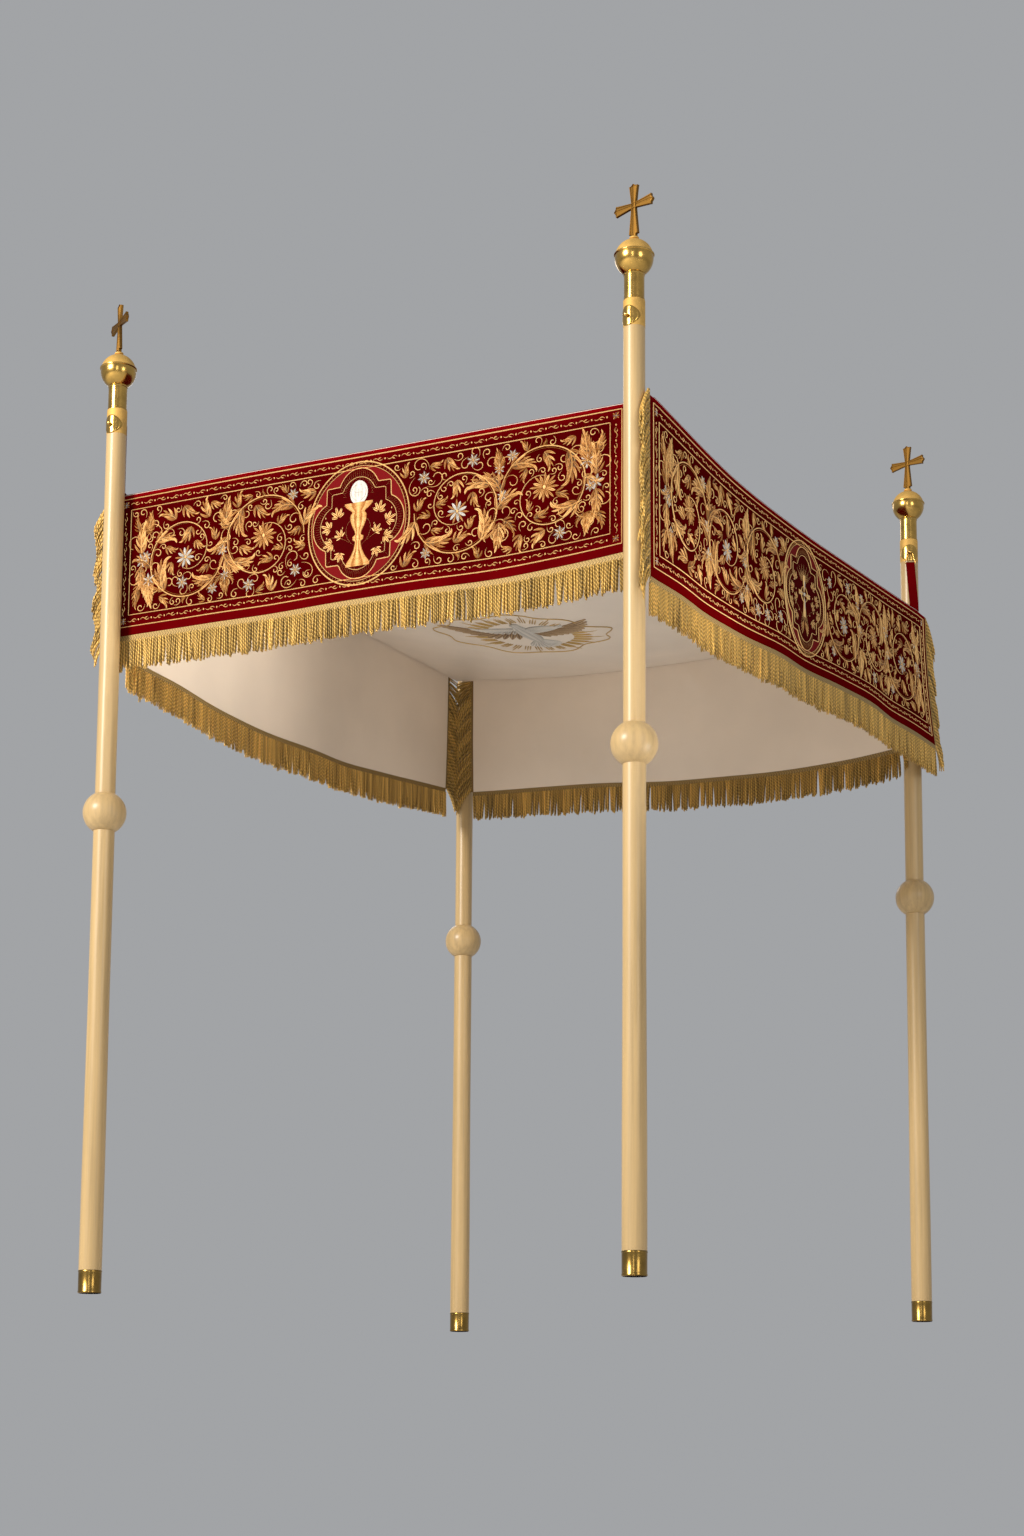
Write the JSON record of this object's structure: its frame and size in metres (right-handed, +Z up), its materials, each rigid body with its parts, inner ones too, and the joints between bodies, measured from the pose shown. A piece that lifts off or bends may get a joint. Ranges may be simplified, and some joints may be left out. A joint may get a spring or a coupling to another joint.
{
  "type": "processional canopy on its four carrying poles",
  "caption": "Velvet-sided cloth canopy with fringes, hung between turned wooden poles with brass feet, ball knobs and cross finials.",
  "frame": {"origin": "centre of the bounding box in plan, on the floor that the poles' feet stand on", "axes": "+Z up along the poles, +X along the short front side, +Y along the long side"},
  "size_m": [1.5864, 1.9744, 2.5],
  "materials": {
    "lacquered_wood": "cream gloss lacquer",
    "polished_brass": "polished",
    "satin_brass": "satin",
    "crimson_velvet": "velvet pile",
    "satin_lining": "satin",
    "gold_fringe": "metallic thread"
  },
  "bodies": {
    "root": {"boss_a": "polished_brass", "boss_b": "polished_brass", "boss_c": "polished_brass", "boss_e": "polished_brass", "cross_a": "satin_brass", "cross_b": "satin_brass", "cross_c": "satin_brass", "cross_e": "satin_brass", "finial_cup_a": "polished_brass", "finial_cup_b": "polished_brass", "finial_cup_c": "polished_brass", "finial_cup_e": "polished_brass", "finial_dome_a": "satin_brass", "finial_dome_b": "satin_brass", "finial_dome_c": "satin_brass", "finial_dome_e": "satin_brass", "foot_ferrule_a": "polished_brass", "foot_ferrule_b": "polished_brass", "foot_ferrule_c": "polished_brass", "foot_ferrule_e": "polished_brass", "fringe_back": "gold_fringe", "fringe_back_end": "gold_fringe", "fringe_back_start": "gold_fringe", "fringe_front": "gold_fringe", "fringe_front_end": "gold_fringe", "fringe_front_start": "gold_fringe", "fringe_left": "gold_fringe", "fringe_left_end": "gold_fringe", "fringe_left_start": "gold_fringe", "fringe_right": "gold_fringe", "fringe_right_end": "gold_fringe", "fringe_right_start": "gold_fringe", "knob_a": "lacquered_wood", "knob_b": "lacquered_wood", "knob_c": "lacquered_wood", "knob_e": "lacquered_wood", "lining_back": "satin_lining", "lining_front": "satin_lining", "lining_left": "satin_lining", "lining_right": "satin_lining", "ring_c": "polished_brass", "ring_e": "polished_brass", "roof": "satin_lining", "staff_lower_a": "lacquered_wood", "staff_lower_b": "lacquered_wood", "staff_lower_c": "lacquered_wood", "staff_lower_e": "lacquered_wood", "staff_upper_a": "lacquered_wood", "staff_upper_b": "lacquered_wood", "staff_upper_c": "lacquered_wood", "staff_upper_e": "lacquered_wood", "strap_a": "crimson_velvet", "strap_b": "crimson_velvet", "strap_c": "crimson_velvet", "strap_e": "crimson_velvet", "velvet_back": "crimson_velvet", "velvet_front": "crimson_velvet", "velvet_left": "crimson_velvet", "velvet_right": "crimson_velvet"}
  },
  "joints": []
}
